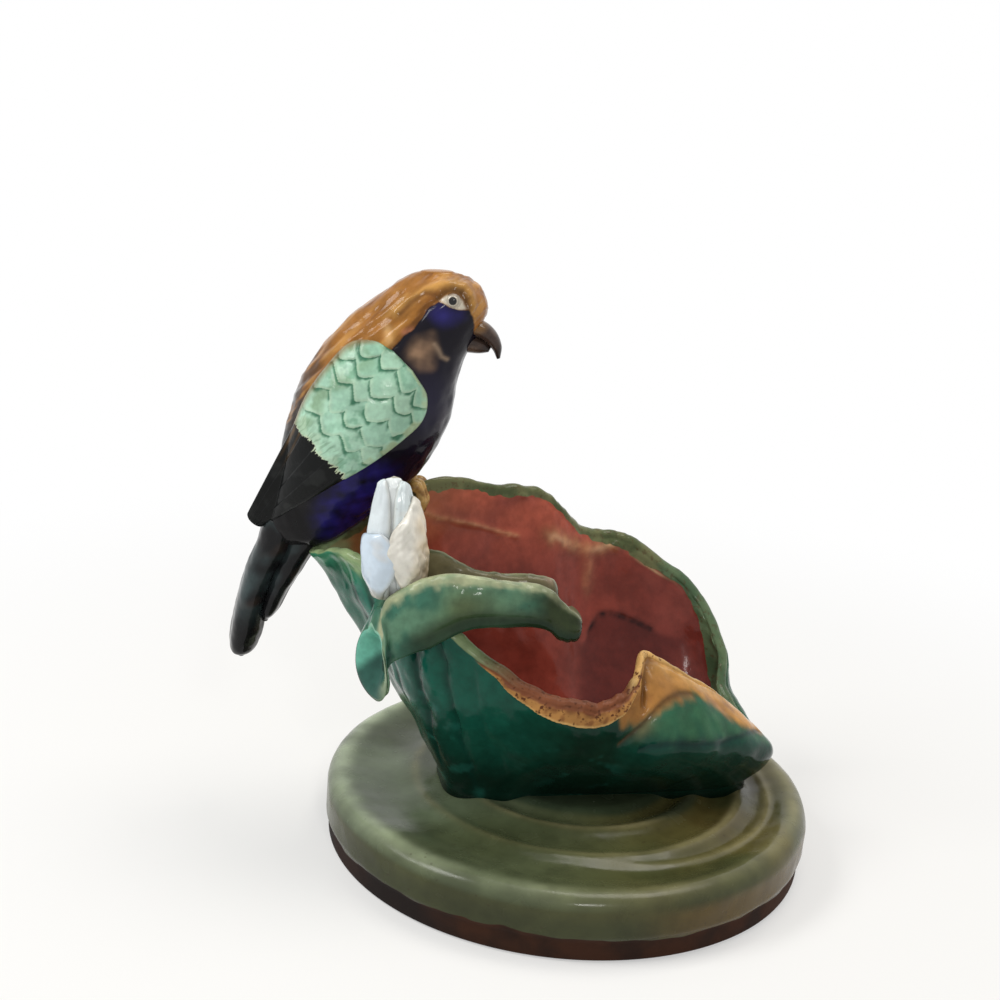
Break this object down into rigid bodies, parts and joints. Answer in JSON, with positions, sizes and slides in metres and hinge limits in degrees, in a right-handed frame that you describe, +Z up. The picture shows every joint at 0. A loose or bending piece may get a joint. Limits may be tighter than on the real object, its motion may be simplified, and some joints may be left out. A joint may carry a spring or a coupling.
{
  "type": "majolica bird figurine",
  "caption": "Glazed earthenware ornament: a bird perched on the rim of a curled leaf dish, with a rolled leaf and a flower bud, on a round base with water rings.",
  "frame": {"origin": "middle of the round base, on the plane that its foot ring stands on", "axes": "+X towards the leaf's tip, the way the bird faces; -Y towards the viewer of the picture; +Z up"},
  "size_m": [0.1879, 0.154, 0.1778],
  "materials": {
    "base_glaze": "celadon-olive gloss glaze over red clay, bare at the foot",
    "leaf_glaze": "dark green gloss glaze outside, maroon inside, ochre at the edge",
    "roll_glaze": "teal to olive gloss glaze",
    "bud_glaze": "milky white gloss glaze",
    "plumage_glaze": "amber head and back, cobalt and black face and belly, gloss",
    "wing_glaze": "celadon gloss glaze, black at the long feathers",
    "tail_glaze": "black gloss glaze",
    "claw_glaze": "ochre gloss glaze",
    "beak_glaze": "dark brown gloss glaze",
    "eye_glaze": "cream gloss glaze with a black pupil"
  },
  "bodies": {
    "root": {"base_plinth": "base_glaze", "leaf_bowl": "leaf_glaze", "rolled_leaf": "roll_glaze", "bud_core": "bud_glaze", "bud_petal_back": "bud_glaze", "bud_petal_left": "bud_glaze", "bud_petal_right": "bud_glaze", "bud_wrap_left": "bud_glaze", "bud_wrap_right": "bud_glaze", "bird_body": "plumage_glaze", "right_wing": "wing_glaze", "left_wing": "wing_glaze", "tail_long": "tail_glaze", "tail_short": "tail_glaze", "right_foot": "claw_glaze", "left_foot": "claw_glaze", "upper_beak": "beak_glaze", "lower_beak": "beak_glaze", "right_eye": "eye_glaze", "left_eye": "eye_glaze"}
  },
  "joints": []
}
